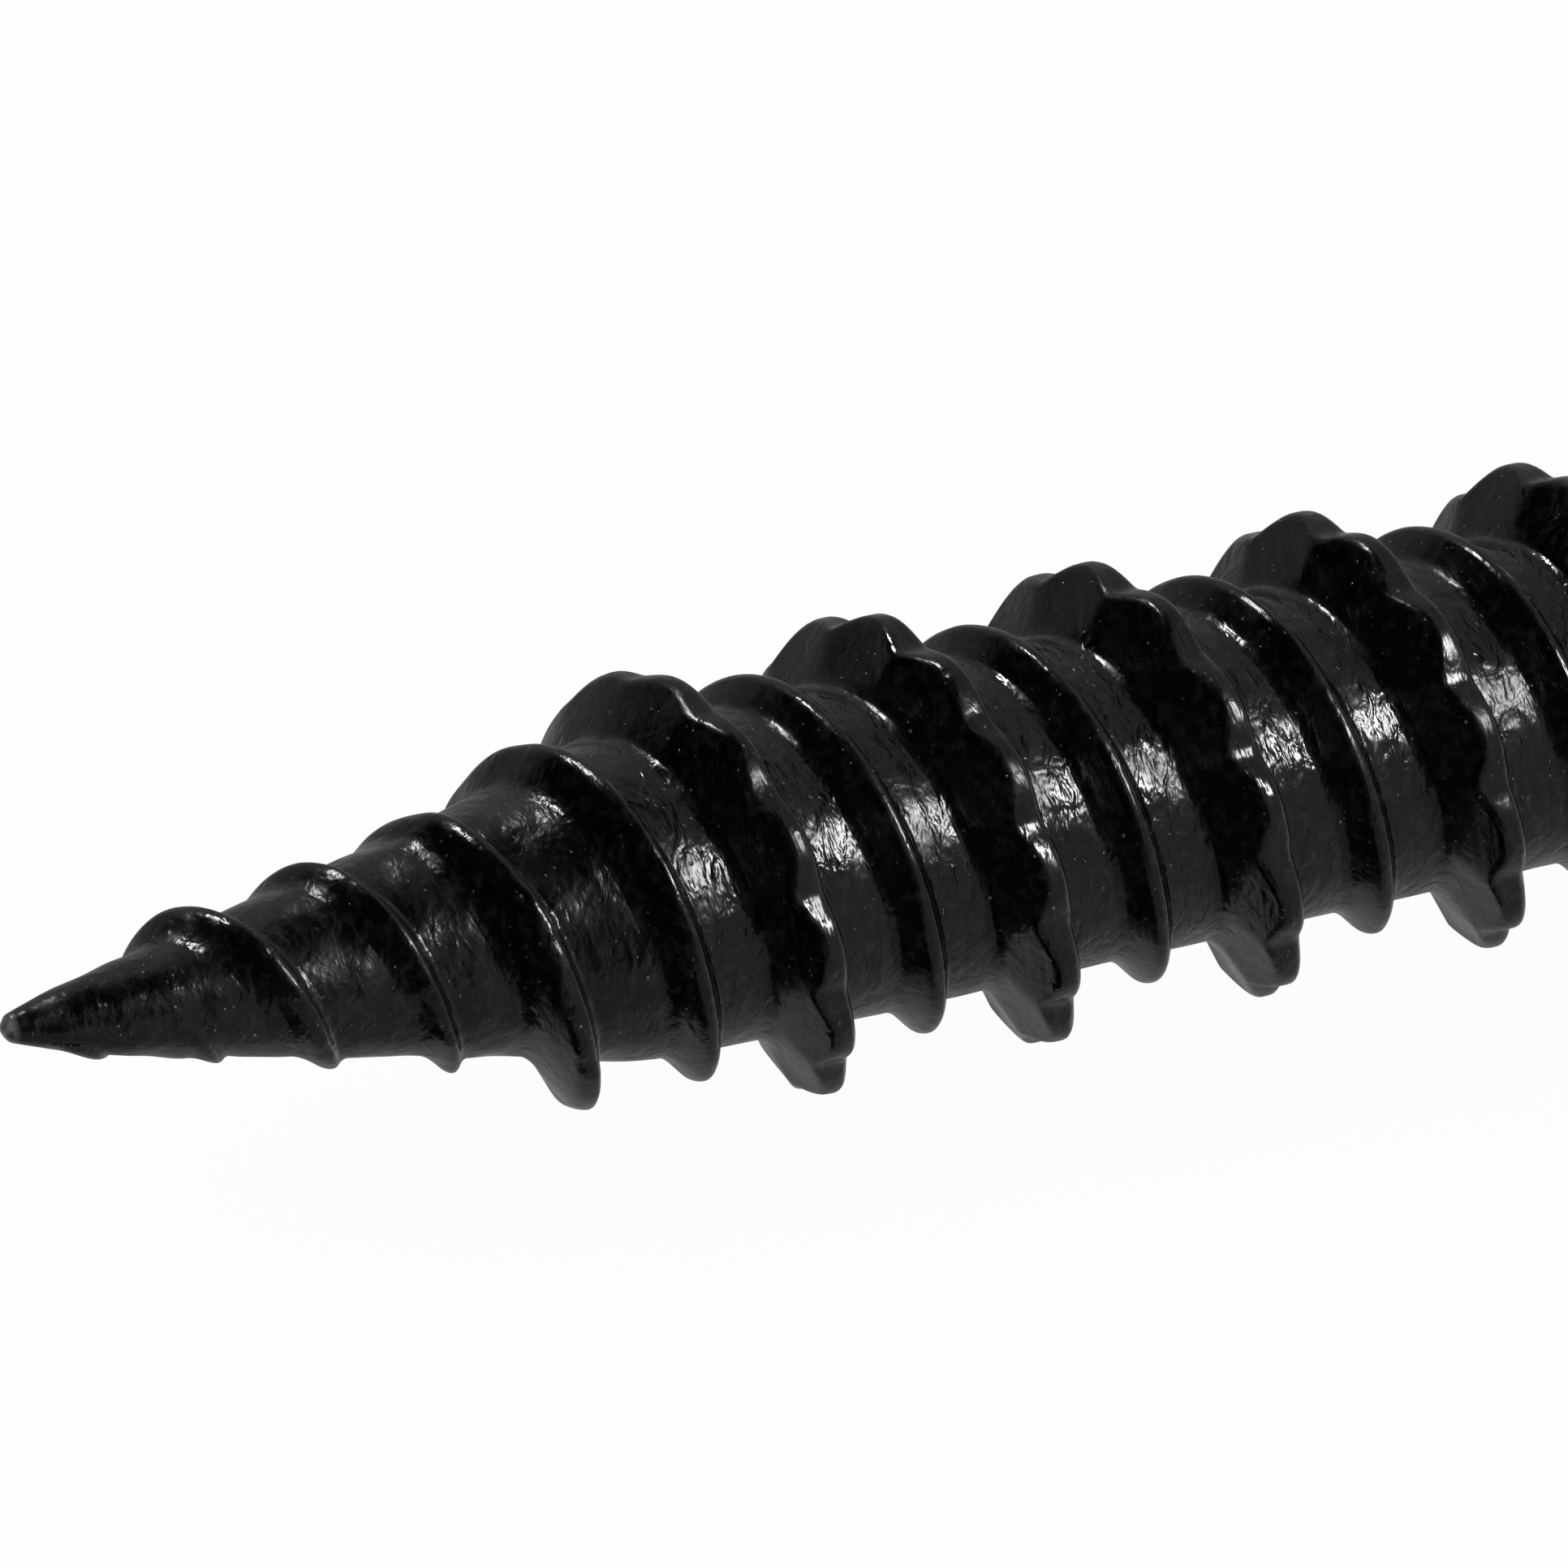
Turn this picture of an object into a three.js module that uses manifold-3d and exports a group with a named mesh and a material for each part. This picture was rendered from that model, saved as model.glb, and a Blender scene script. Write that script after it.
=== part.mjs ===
// Coated steel wood screw with a two-start high-low thread, notched high ridge and countersunk head.
// Millimetres, +Z up. The screw lies along X with its point at -X; the origin is on the axis at mid-length.
// The steel is one piece. Its sections and rolled features are separate solids, seated with a small gap.
import * as THREE from "three";
import { mergeVertices } from "three/addons/utils/BufferGeometryUtils.js";
import Module from "manifold-3d";

const wasm = await Module();
wasm.setup();

// ---- driving dimensions ----
const LENGTH = 75; // point to head face
const THREAD_LENGTH = 46; // point to the end of the thread
const POINT_LENGTH = 10; // tapered part of the root
const MAJOR_D = 6.3; // over the high ridge
const LOW_D = 5.27; // over the low ridge
const ROOT_D = 4.44; // between the ridges
const LEAD = 3.36; // advance in one turn, with both ridges in it
const SHANK_D = 4.9;
const HEAD_D = 12;
const HEAD_ANGLE = 90; // full angle of the countersink, degrees
const HEAD_LAND = 0.45; // straight rim above the countersink
const HIGH_START = 9.82; // from the point, where the notches of the high ridge begin
const POINT_PULL = 0.26; // on the cone the high ridge runs this much nearer to the tip than its lead says
const LOW_PULL = 0.16; // and the low ridge this much
const PULL_EASE = 2.5; // length over which the two shifts come in
const TOOTH_PITCH = 29.5; // degrees of turn from notch to notch
const NOTCH_DEPTH = 0.28;
const RECESS_OUTER_D = 5.6; // six-lobe drive, size 30, over the lobes
const RECESS_INNER_D = 3.95; // between opposite flutes
const RECESS_LOBE_R = 0.463;
const RECESS_DEPTH = 3;
const NECK_FILLET = 1.4; // arc between shank and countersink
const HEAD_RIBS = 6;
const CUTTER_RIDGES = 4;

// ---- seating and facets ----
const BUTT_GAP = 0.02; // between two sections end to end
const SEAT_GAP = 0.05; // under a ridge
const ROOT_SIDES = 24;
const HEAD_SIDES = 48;
const TURN_STEP = TOOTH_PITCH / 2; // one step on a tooth, one step in a notch
const LOW_STEP = 18;

// ---- places worked out from them ----
const SHANK_R = SHANK_D / 2;
const ROOT_R = ROOT_D / 2;
const HIGH_H = (MAJOR_D - ROOT_D) / 2;
const LOW_H = (LOW_D - ROOT_D) / 2;
const HALF_ANGLE = THREE.MathUtils.degToRad(HEAD_ANGLE / 2);
const NECK_LENGTH = NECK_FILLET * Math.sin(HALF_ANGLE);
const NECK_END_R = SHANK_R + NECK_FILLET * (1 - Math.cos(HALF_ANGLE));
const CONE_H = (HEAD_D / 2 - NECK_END_R) / Math.tan(HALF_ANGLE);
const HEAD_START = LENGTH - HEAD_LAND - CONE_H;
const NECK_START = HEAD_START - NECK_LENGTH;
const SHANK_START = THREAD_LENGTH + 1;
const CUTTER_START = SHANK_START + 2;
const CUTTER_LENGTH = 5;
// Place of the high crest at 0 degrees of turn (+Y), and how far behind it the low crest follows.
const HIGH_AT_ZERO = 12.65;
const LOW_BEHIND_HIGH = 0.479 * LEAD;

const coating = new THREE.MeshStandardMaterial({ color: 0x0b0b0e, roughness: 0.3, metalness: 0 });
const screw = new THREE.Group();
screw.position.x = -LENGTH / 2;

function addPiece(name, geometry) {
  const mesh = new THREE.Mesh(geometry, coating);
  mesh.name = name;
  screw.add(mesh);
}

// Straight-line reading between the points [place, value] of a list.
function along(points, place) {
  let i = 1;
  while (i < points.length - 1 && place > points[i][0]) i += 1;
  const [a, va] = points[i - 1];
  const [b, vb] = points[i];
  const t = THREE.MathUtils.clamp((place - a) / (b - a), 0, 1);
  return va + t * (vb - va);
}

// Root radius from the point: a blunt nose, a slim cone and a rounded shoulder.
const POINT_PROFILE = [
  [0, 0],
  [0.03, 0.11],
  [0.15, 0.2],
  [0.5, 0.33],
  [1.2, 0.5],
  [3.1, 0.9],
  [5, 1.26],
  [6.8, 1.62],
  [8, 1.91],
  [8.7, 2.07],
  [9.3, 2.17],
  [POINT_LENGTH, ROOT_R],
];

function rootRadius(place) {
  return along(POINT_PROFILE, place);
}

// A solid of revolution about X from [place, radius] pairs, first and last on the axis.
function turned(pairs, sides) {
  const points = pairs.map(([place, radius]) => new THREE.Vector2(radius, place));
  const lathe = new THREE.LatheGeometry(points, sides);
  lathe.rotateZ(-Math.PI / 2);
  return lathe;
}

// A bar from closed sections: every section has the same number of corners, and the two ends are capped.
function lofted(sections) {
  const corners = sections[0].length;
  const positions = sections.flat().flatMap((p) => [p.x, p.y, p.z]);
  const index = [];
  for (let k = 0; k < sections.length - 1; k += 1) {
    for (let c = 0; c < corners; c += 1) {
      const a = k * corners + c;
      const b = k * corners + ((c + 1) % corners);
      index.push(a, b, a + corners, b, b + corners, a + corners);
    }
  }
  const last = (sections.length - 1) * corners;
  for (let c = 1; c < corners - 1; c += 1) {
    index.push(0, c + 1, c);
    index.push(last, last + c, last + c + 1);
  }
  const geometry = new THREE.BufferGeometry();
  geometry.setAttribute("position", new THREE.Float32BufferAttribute(positions, 3));
  geometry.setIndex(index);
  return geometry;
}

// A point on the screw: place along X, radius from the axis, turn in radians from +Y towards +Z.
function onScrew(place, radius, turn) {
  return new THREE.Vector3(place, radius * Math.cos(turn), radius * Math.sin(turn));
}

// A rolled ridge that winds round the root from one turn angle to another, in degrees.
// shape(step, place) gives the section's corners as [distance along X, height above the root], and pull is
// the shift towards the tip on the cone.
function woundRidge({ from, to, step, zeroPlace, pull, shape }) {
  const steps = Math.round((to - from) / step);
  const sections = [];
  for (let k = 0; k <= steps; k += 1) {
    const degrees = from + ((to - from) * k) / steps;
    const place = zeroPlace + (LEAD * degrees) / 360;
    const centre = place - pull * THREE.MathUtils.clamp((HIGH_START - place) / PULL_EASE, 0, 1);
    const turn = THREE.MathUtils.degToRad(degrees);
    const corners = shape(k, place);
    sections.push(corners.map(([d, h]) => onScrew(centre + d, rootRadius(centre + d) + SEAT_GAP + h, turn)));
  }
  return lofted(sections);
}

function turnAt(place, zeroPlace) {
  return ((place - zeroPlace) / LEAD) * 360;
}

// High ridge: a long slope towards the point, a narrow crest and a steep face towards the head.
function highSection(height, notched) {
  const spread = 0.3 + (0.7 * height) / HIGH_H;
  const cut = notched ? NOTCH_DEPTH : 0;
  const top = height - cut - SEAT_GAP;
  return [
    [-0.66 * spread, 0],
    [0.36 * spread, 0],
    [0.12 * spread, top],
    [(0.3 * cut - 0.12) * spread, top],
  ];
}

// Low ridge: narrow, with its longer slope towards the point too.
function lowSection(height) {
  const spread = 0.35 + (0.65 * height) / LOW_H;
  const top = height - SEAT_GAP;
  return [
    [-0.42 * spread, 0],
    [0.28 * spread, 0],
    [0.1 * spread, top],
    [-0.08 * spread, top],
  ];
}

// Ridge heights by distance from the point. Both ridges stand up at the tip, sink on the cone and then grow.
const HIGH_HEIGHTS = [
  [1.2, 0.12],
  [2.7, 0.36],
  [4.5, 0.19],
  [6.4, 0.19],
  [8, 0.66],
  [10, 0.82],
  [11.6, HIGH_H],
  [THREAD_LENGTH - 1.5, HIGH_H],
  [THREAD_LENGTH, 0.12],
];
const LOW_HEIGHTS = [
  [2.4, 0.1],
  [4.6, 0.2],
  [6.3, 0.18],
  [8, LOW_H],
  [THREAD_LENGTH - 1.3, LOW_H],
  [THREAD_LENGTH, 0.1],
];

function highRidge(fromPlace, toPlace, notched) {
  return woundRidge({
    from: turnAt(fromPlace, HIGH_AT_ZERO),
    to: turnAt(toPlace, HIGH_AT_ZERO),
    step: TURN_STEP,
    zeroPlace: HIGH_AT_ZERO,
    pull: POINT_PULL,
    shape: (k, place) => highSection(along(HIGH_HEIGHTS, place), notched && k % 2 === 1),
  });
}

function lowRidge(fromPlace, toPlace) {
  const zeroPlace = HIGH_AT_ZERO + LOW_BEHIND_HIGH;
  return woundRidge({
    from: turnAt(fromPlace, zeroPlace),
    to: turnAt(toPlace, zeroPlace),
    step: LOW_STEP,
    zeroPlace,
    pull: LOW_PULL,
    shape: (k, place) => lowSection(along(LOW_HEIGHTS, place)),
  });
}

// A raised rib that runs along the screw. turnOf and radiusOf read the place; the ends are low.
function rib({ from, to, steps, turnOf, radiusOf, height, baseWidth, crestWidth }) {
  const sections = [];
  for (let k = 0; k <= steps; k += 1) {
    const place = from + ((to - from) * k) / steps;
    const inner = radiusOf(place) + SEAT_GAP;
    const outer = inner + height * (0.3 + 0.7 * Math.sin((Math.PI * k) / steps));
    const turn = turnOf(place);
    const base = baseWidth / 2 / inner;
    const crest = crestWidth / 2 / outer;
    sections.push([
      onScrew(place, inner, turn - base),
      onScrew(place, outer, turn - crest),
      onScrew(place, outer, turn + crest),
      onScrew(place, inner, turn + base),
    ]);
  }
  return lofted(sections);
}

// Closed mesh to solid and back, for the one cut.
function toSolid(geometry) {
  const bare = geometry.clone();
  bare.deleteAttribute("normal");
  bare.deleteAttribute("uv");
  const merged = mergeVertices(bare, 1e-4);
  return new wasm.Manifold(
    new wasm.Mesh({
      numProp: 3,
      vertProperties: Float32Array.from(merged.attributes.position.array),
      triVerts: Uint32Array.from(merged.index.array),
    }),
  );
}

function toGeometry(solid) {
  const { vertProperties, triVerts } = solid.getMesh();
  const geometry = new THREE.BufferGeometry();
  geometry.setAttribute("position", new THREE.Float32BufferAttribute(vertProperties, 3));
  geometry.setIndex(Array.from(triVerts));
  return geometry;
}

// Six-lobe outline: small round lobes joined by larger hollow arcs that touch them smoothly.
function sixLobeOutline() {
  const lobeAt = RECESS_OUTER_D / 2 - RECESS_LOBE_R;
  const waist = RECESS_INNER_D / 2;
  const fluteR =
    (lobeAt ** 2 + waist ** 2 - Math.sqrt(3) * lobeAt * waist - RECESS_LOBE_R ** 2) /
    (2 * RECESS_LOBE_R - 2 * waist + Math.sqrt(3) * lobeAt);
  const fluteAt = waist + fluteR;
  const sixth = Math.PI / 3;
  const lean = Math.atan2(fluteAt * Math.sin(sixth / 2), fluteAt * Math.cos(sixth / 2) - lobeAt);
  const outline = new THREE.Shape();
  for (let k = 0; k < 6; k += 1) {
    const lobe = k * sixth;
    const flute = lobe + sixth / 2;
    outline.absarc(lobeAt * Math.cos(lobe), lobeAt * Math.sin(lobe), RECESS_LOBE_R, lobe - lean, lobe + lean);
    outline.absarc(
      fluteAt * Math.cos(flute),
      fluteAt * Math.sin(flute),
      fluteR,
      lobe + lean + Math.PI,
      flute + sixth / 2 - lean + Math.PI,
      true,
    );
  }
  return outline;
}

function head() {
  const outer = turned(
    [
      [HEAD_START + BUTT_GAP, 0],
      [HEAD_START + BUTT_GAP, NECK_END_R + BUTT_GAP],
      [LENGTH - HEAD_LAND, HEAD_D / 2],
      [LENGTH, HEAD_D / 2],
      [LENGTH, 0],
    ],
    HEAD_SIDES,
  );
  const over = 1;
  const drive = new THREE.ExtrudeGeometry(sixLobeOutline(), {
    depth: RECESS_DEPTH + over,
    bevelEnabled: false,
    curveSegments: 4,
  });
  drive.rotateY(Math.PI / 2);
  drive.translate(LENGTH - RECESS_DEPTH, 0, 0);
  return toGeometry(toSolid(outer).subtract(toSolid(drive)));
}

function neck() {
  const steps = 4;
  const profile = [[NECK_START + BUTT_GAP, 0]];
  for (let k = 0; k <= steps; k += 1) {
    const bend = (HALF_ANGLE * k) / steps;
    const place = NECK_START + NECK_FILLET * Math.sin(bend);
    profile.push([Math.max(place, NECK_START + BUTT_GAP), SHANK_R + NECK_FILLET * (1 - Math.cos(bend))]);
  }
  profile.push([HEAD_START, 0]);
  return turned(profile, ROOT_SIDES);
}

function shank() {
  return turned(
    [
      [THREAD_LENGTH + BUTT_GAP, 0],
      [THREAD_LENGTH + BUTT_GAP, ROOT_R],
      [SHANK_START, SHANK_R],
      [NECK_START, SHANK_R],
      [NECK_START, 0],
    ],
    ROOT_SIDES,
  );
}

function threadCore() {
  return turned(
    [
      [POINT_LENGTH + BUTT_GAP, 0],
      [POINT_LENGTH + BUTT_GAP, ROOT_R],
      [THREAD_LENGTH, ROOT_R],
      [THREAD_LENGTH, 0],
    ],
    ROOT_SIDES,
  );
}

function pointCore() {
  return turned([...POINT_PROFILE, [POINT_LENGTH, 0]], ROOT_SIDES);
}

function cutterRidge(k) {
  const twist = THREE.MathUtils.degToRad(9);
  return rib({
    from: CUTTER_START,
    to: CUTTER_START + CUTTER_LENGTH,
    steps: 10,
    turnOf: (place) => (2 * Math.PI * k) / CUTTER_RIDGES + twist * (place - CUTTER_START),
    radiusOf: () => SHANK_R,
    height: 0.38,
    baseWidth: 0.9,
    crestWidth: 0.3,
  });
}

function headRib(k) {
  const coneRadius = (place) => NECK_END_R + (place - HEAD_START) * Math.tan(HALF_ANGLE);
  return rib({
    from: HEAD_START + 0.9,
    to: LENGTH - HEAD_LAND - 0.5,
    steps: 6,
    turnOf: () => (2 * Math.PI * k) / HEAD_RIBS,
    radiusOf: coneRadius,
    height: 0.3,
    baseWidth: 0.7,
    crestWidth: 0.25,
  });
}

addPiece("point_core", pointCore());
addPiece("point_high_thread", highRidge(1.4, HIGH_START - BUTT_GAP, false));
addPiece("point_low_thread", lowRidge(2.6, HIGH_START - BUTT_GAP));
addPiece("thread_core", threadCore());
addPiece("high_thread", highRidge(HIGH_START, THREAD_LENGTH - 0.4, true));
addPiece("low_thread", lowRidge(HIGH_START, THREAD_LENGTH - 0.4));
addPiece("shank", shank());
for (let k = 0; k < CUTTER_RIDGES; k += 1) addPiece(`cutter_ridge_${k + 1}`, cutterRidge(k));
addPiece("neck", neck());
addPiece("head", head());
for (let k = 0; k < HEAD_RIBS; k += 1) addPiece(`head_rib_${k + 1}`, headRib(k));

export default screw;
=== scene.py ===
"""Black coated wood screw lying on a pale floor, its point at -X and its head at +X.
Each section and each rolled feature is a piece of its own."""

import math

import bpy
import numpy as np
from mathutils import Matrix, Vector


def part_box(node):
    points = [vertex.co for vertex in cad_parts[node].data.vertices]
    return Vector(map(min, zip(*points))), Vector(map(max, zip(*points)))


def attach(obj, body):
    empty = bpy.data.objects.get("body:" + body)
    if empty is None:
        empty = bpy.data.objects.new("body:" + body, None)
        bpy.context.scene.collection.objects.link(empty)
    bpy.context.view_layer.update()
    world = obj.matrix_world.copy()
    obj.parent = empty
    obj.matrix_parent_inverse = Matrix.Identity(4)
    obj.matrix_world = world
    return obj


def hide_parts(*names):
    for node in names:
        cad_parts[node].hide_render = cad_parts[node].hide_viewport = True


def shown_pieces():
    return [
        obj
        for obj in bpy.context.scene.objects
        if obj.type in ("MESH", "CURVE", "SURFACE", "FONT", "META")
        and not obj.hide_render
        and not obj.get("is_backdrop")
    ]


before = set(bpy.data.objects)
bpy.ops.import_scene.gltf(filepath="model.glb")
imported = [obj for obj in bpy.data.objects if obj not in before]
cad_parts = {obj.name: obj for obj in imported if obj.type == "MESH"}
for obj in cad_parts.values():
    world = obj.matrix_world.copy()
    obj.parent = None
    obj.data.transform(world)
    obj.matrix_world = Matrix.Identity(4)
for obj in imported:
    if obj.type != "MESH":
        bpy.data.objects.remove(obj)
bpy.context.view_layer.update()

# ---------------------------------------------------------------------------
# Thread root: the parallel bar between the ridges, drawn steel wire that the thread rolls have squeezed.
# A thick gloss black coating covers it, slightly lumpy like orange peel, with small pits and dust in it.

MM = 0.001  # the meshes are worked out in millimetres from the point and stored in metres
LEAD = 3.36  # both ridges advance this much in a turn
TIP_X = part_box("point_core")[0][0] / MM
CORE_LOW, CORE_HIGH = (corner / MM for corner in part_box("thread_core"))
ROOT_R = (CORE_HIGH.z - CORE_LOW.z) / 2
CORE_START = CORE_LOW.x - TIP_X
CORE_END = CORE_HIGH.x - TIP_X
CONE_SLOPE, CONE_R = 0.2, 0.27  # rise of the point's cone per millimetre, and its radius at the tip
NOSE_SLOPE, NOSE_R = 0.32, 0.16  # the same for the steeper blunt nose
TIP_ROUNDING = 0.52
NOSE_BLEND, BAR_BLEND = 22, 14  # how sharply nose and cone, and cone and bar, run into each other
FULLNESS, FULLEST_AT, FULL_LENGTH = 0.11, 8.9, 1.1  # the cone swells a little just before the bar
TIP_SIDESTEP = 0.1  # the pressed tip sits a little off the axis
SIDESTEP_LENGTH = 3.4
SIDESTEP_TURN = math.radians(60)
COAT = 0.02
POOLED_END, POOLED_FADE = 10.5, 3  # the coating is thick and smeared from the tip to here
WAVES = ((0.010, 0.9, 3), (0.006, 0.38, 5))  # height, size and seed of the coating's lumps
POOLED_BLOBS = ((0.035, 0.8, 7), (0.02, 0.42, 11))  # and of those where it has pooled
THIN_TIP_R = 0.6  # nearer to the axis than this the coating gets thinner


def root_radius(place):
    """Radius of the bare root at a distance from the point: blunt nose, slim cone, rounded shoulder, bar."""
    cone = CONE_R + CONE_SLOPE * place + FULLNESS * np.exp(-(((place - FULLEST_AT) / FULL_LENGTH) ** 2))
    round_tip = TIP_ROUNDING * np.sqrt(np.clip(place, 0, None)) * (1 + place)
    nose = np.minimum(round_tip, NOSE_R + NOSE_SLOPE * place)
    slim = -np.log(np.exp(-NOSE_BLEND * cone) + np.exp(-NOSE_BLEND * nose)) / NOSE_BLEND
    return -np.log(np.exp(-BAR_BLEND * slim) + math.exp(-BAR_BLEND * ROOT_R)) / BAR_BLEND


def lattice_noise(points, size, seed):
    """Smooth noise from -1 to 1 in space, with lumps about one size across."""
    side = 32
    lattice = np.random.default_rng(seed).uniform(-1, 1, (side, side, side))
    cell = points / size
    low = np.floor(cell).astype(int)
    t = cell - low
    t = t * t * (3 - 2 * t)
    total = np.zeros(len(points))
    for corner in np.ndindex(2, 2, 2):
        weight = np.prod(np.where(np.array(corner) == 1, t, 1 - t), axis=1)
        i, j, k = ((low + corner) % side).T
        total += weight * lattice[i, j, k]
    return total


def coating_swell(points, place):
    """How far the coating stands proud: its thickness with gentle waves, and thicker blobs on the point."""
    on_point = np.clip((POOLED_END - place) / POOLED_FADE, 0, 1)
    waves = sum(height * lattice_noise(points, size, seed) for height, size, seed in WAVES)
    blobs = sum(height * lattice_noise(points, size, seed) for height, size, seed in POOLED_BLOBS)
    return COAT + waves + on_point * blobs


def round_axis(place, radius, turn):
    """Points at a distance from the tip, a radius and a turn from +Y towards +Z, with the coating on."""
    place, radius, turn = np.broadcast_arrays(place, radius, turn)
    shape = place.shape
    place, radius, turn = place.ravel(), radius.ravel(), turn.ravel()
    outward = np.stack([np.zeros(len(turn)), np.cos(turn), np.sin(turn)], axis=1)
    along = np.stack([place, np.zeros(len(turn)), np.zeros(len(turn))], axis=1)
    swell = coating_swell(along + outward * radius[:, None], place) * np.clip(radius / THIN_TIP_R, 0.2, 1)
    points = along + outward * (radius + swell)[:, None]
    sidestep = TIP_SIDESTEP * np.clip(1 - place / SIDESTEP_LENGTH, 0, 1) ** 1.5
    points[:, 1] += sidestep * math.cos(SIDESTEP_TURN)
    points[:, 2] += sidestep * math.sin(SIDESTEP_TURN)
    return points.reshape(*shape, 3)


def on_root(place, height, turn):
    """The same for a height above the bare root."""
    return round_axis(place, root_radius(place) + height, turn)


def skin(name, loops, peel=None):
    """A closed mesh from closed loops, each joined to the next, with a flat cap on the first and the last.
    peel says at each point how much of the coating's orange peel shows there, from 0 to 1."""
    count, size = loops.shape[:2]
    verts = loops.reshape(-1, 3) + (TIP_X, 0, 0)
    k, c = np.meshgrid(np.arange(count - 1), np.arange(size), indexing="ij")
    here = k * size + c
    beside = k * size + (c + 1) % size
    quads = np.stack([here, beside, beside + size, here + size], axis=-1).reshape(-1, 4)
    first = np.arange(size)[::-1]
    last = np.arange(size) + (count - 1) * size
    a, b, d = (verts[quads[:, i]] for i in (0, 1, 2))
    e = verts[quads[:, 3]]
    volume = (np.cross(b - a, d - a) * a).sum() + (np.cross(d - a, e - a) * a).sum()
    if volume < 0:
        quads, first, last = quads[:, ::-1], first[::-1], last[::-1]
    corners = np.concatenate([quads.ravel(), first, last])
    starts = np.concatenate([np.arange(len(quads)) * 4, [len(quads) * 4, len(quads) * 4 + size]])
    sizes = np.concatenate([np.full(len(quads), 4), [size, size]])
    mesh = bpy.data.meshes.new(name)
    mesh.vertices.add(len(verts))
    mesh.vertices.foreach_set("co", (verts * MM).ravel())
    mesh.loops.add(len(corners))
    mesh.loops.foreach_set("vertex_index", corners)
    mesh.polygons.add(len(sizes))
    mesh.polygons.foreach_set("loop_start", starts)
    mesh.polygons.foreach_set("loop_total", sizes)
    mesh.polygons.foreach_set("use_smooth", sizes == 4)
    mesh.update(calc_edges=True)
    mesh.set_sharp_from_angle(angle=math.radians(60))
    shown = np.ones(len(verts)) if peel is None else peel.ravel()
    mesh.attributes.new("peel", "FLOAT", "POINT").data.foreach_set("value", shown)
    piece = bpy.data.objects.new(name, mesh)
    bpy.context.scene.collection.objects.link(piece)
    return piece


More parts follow.
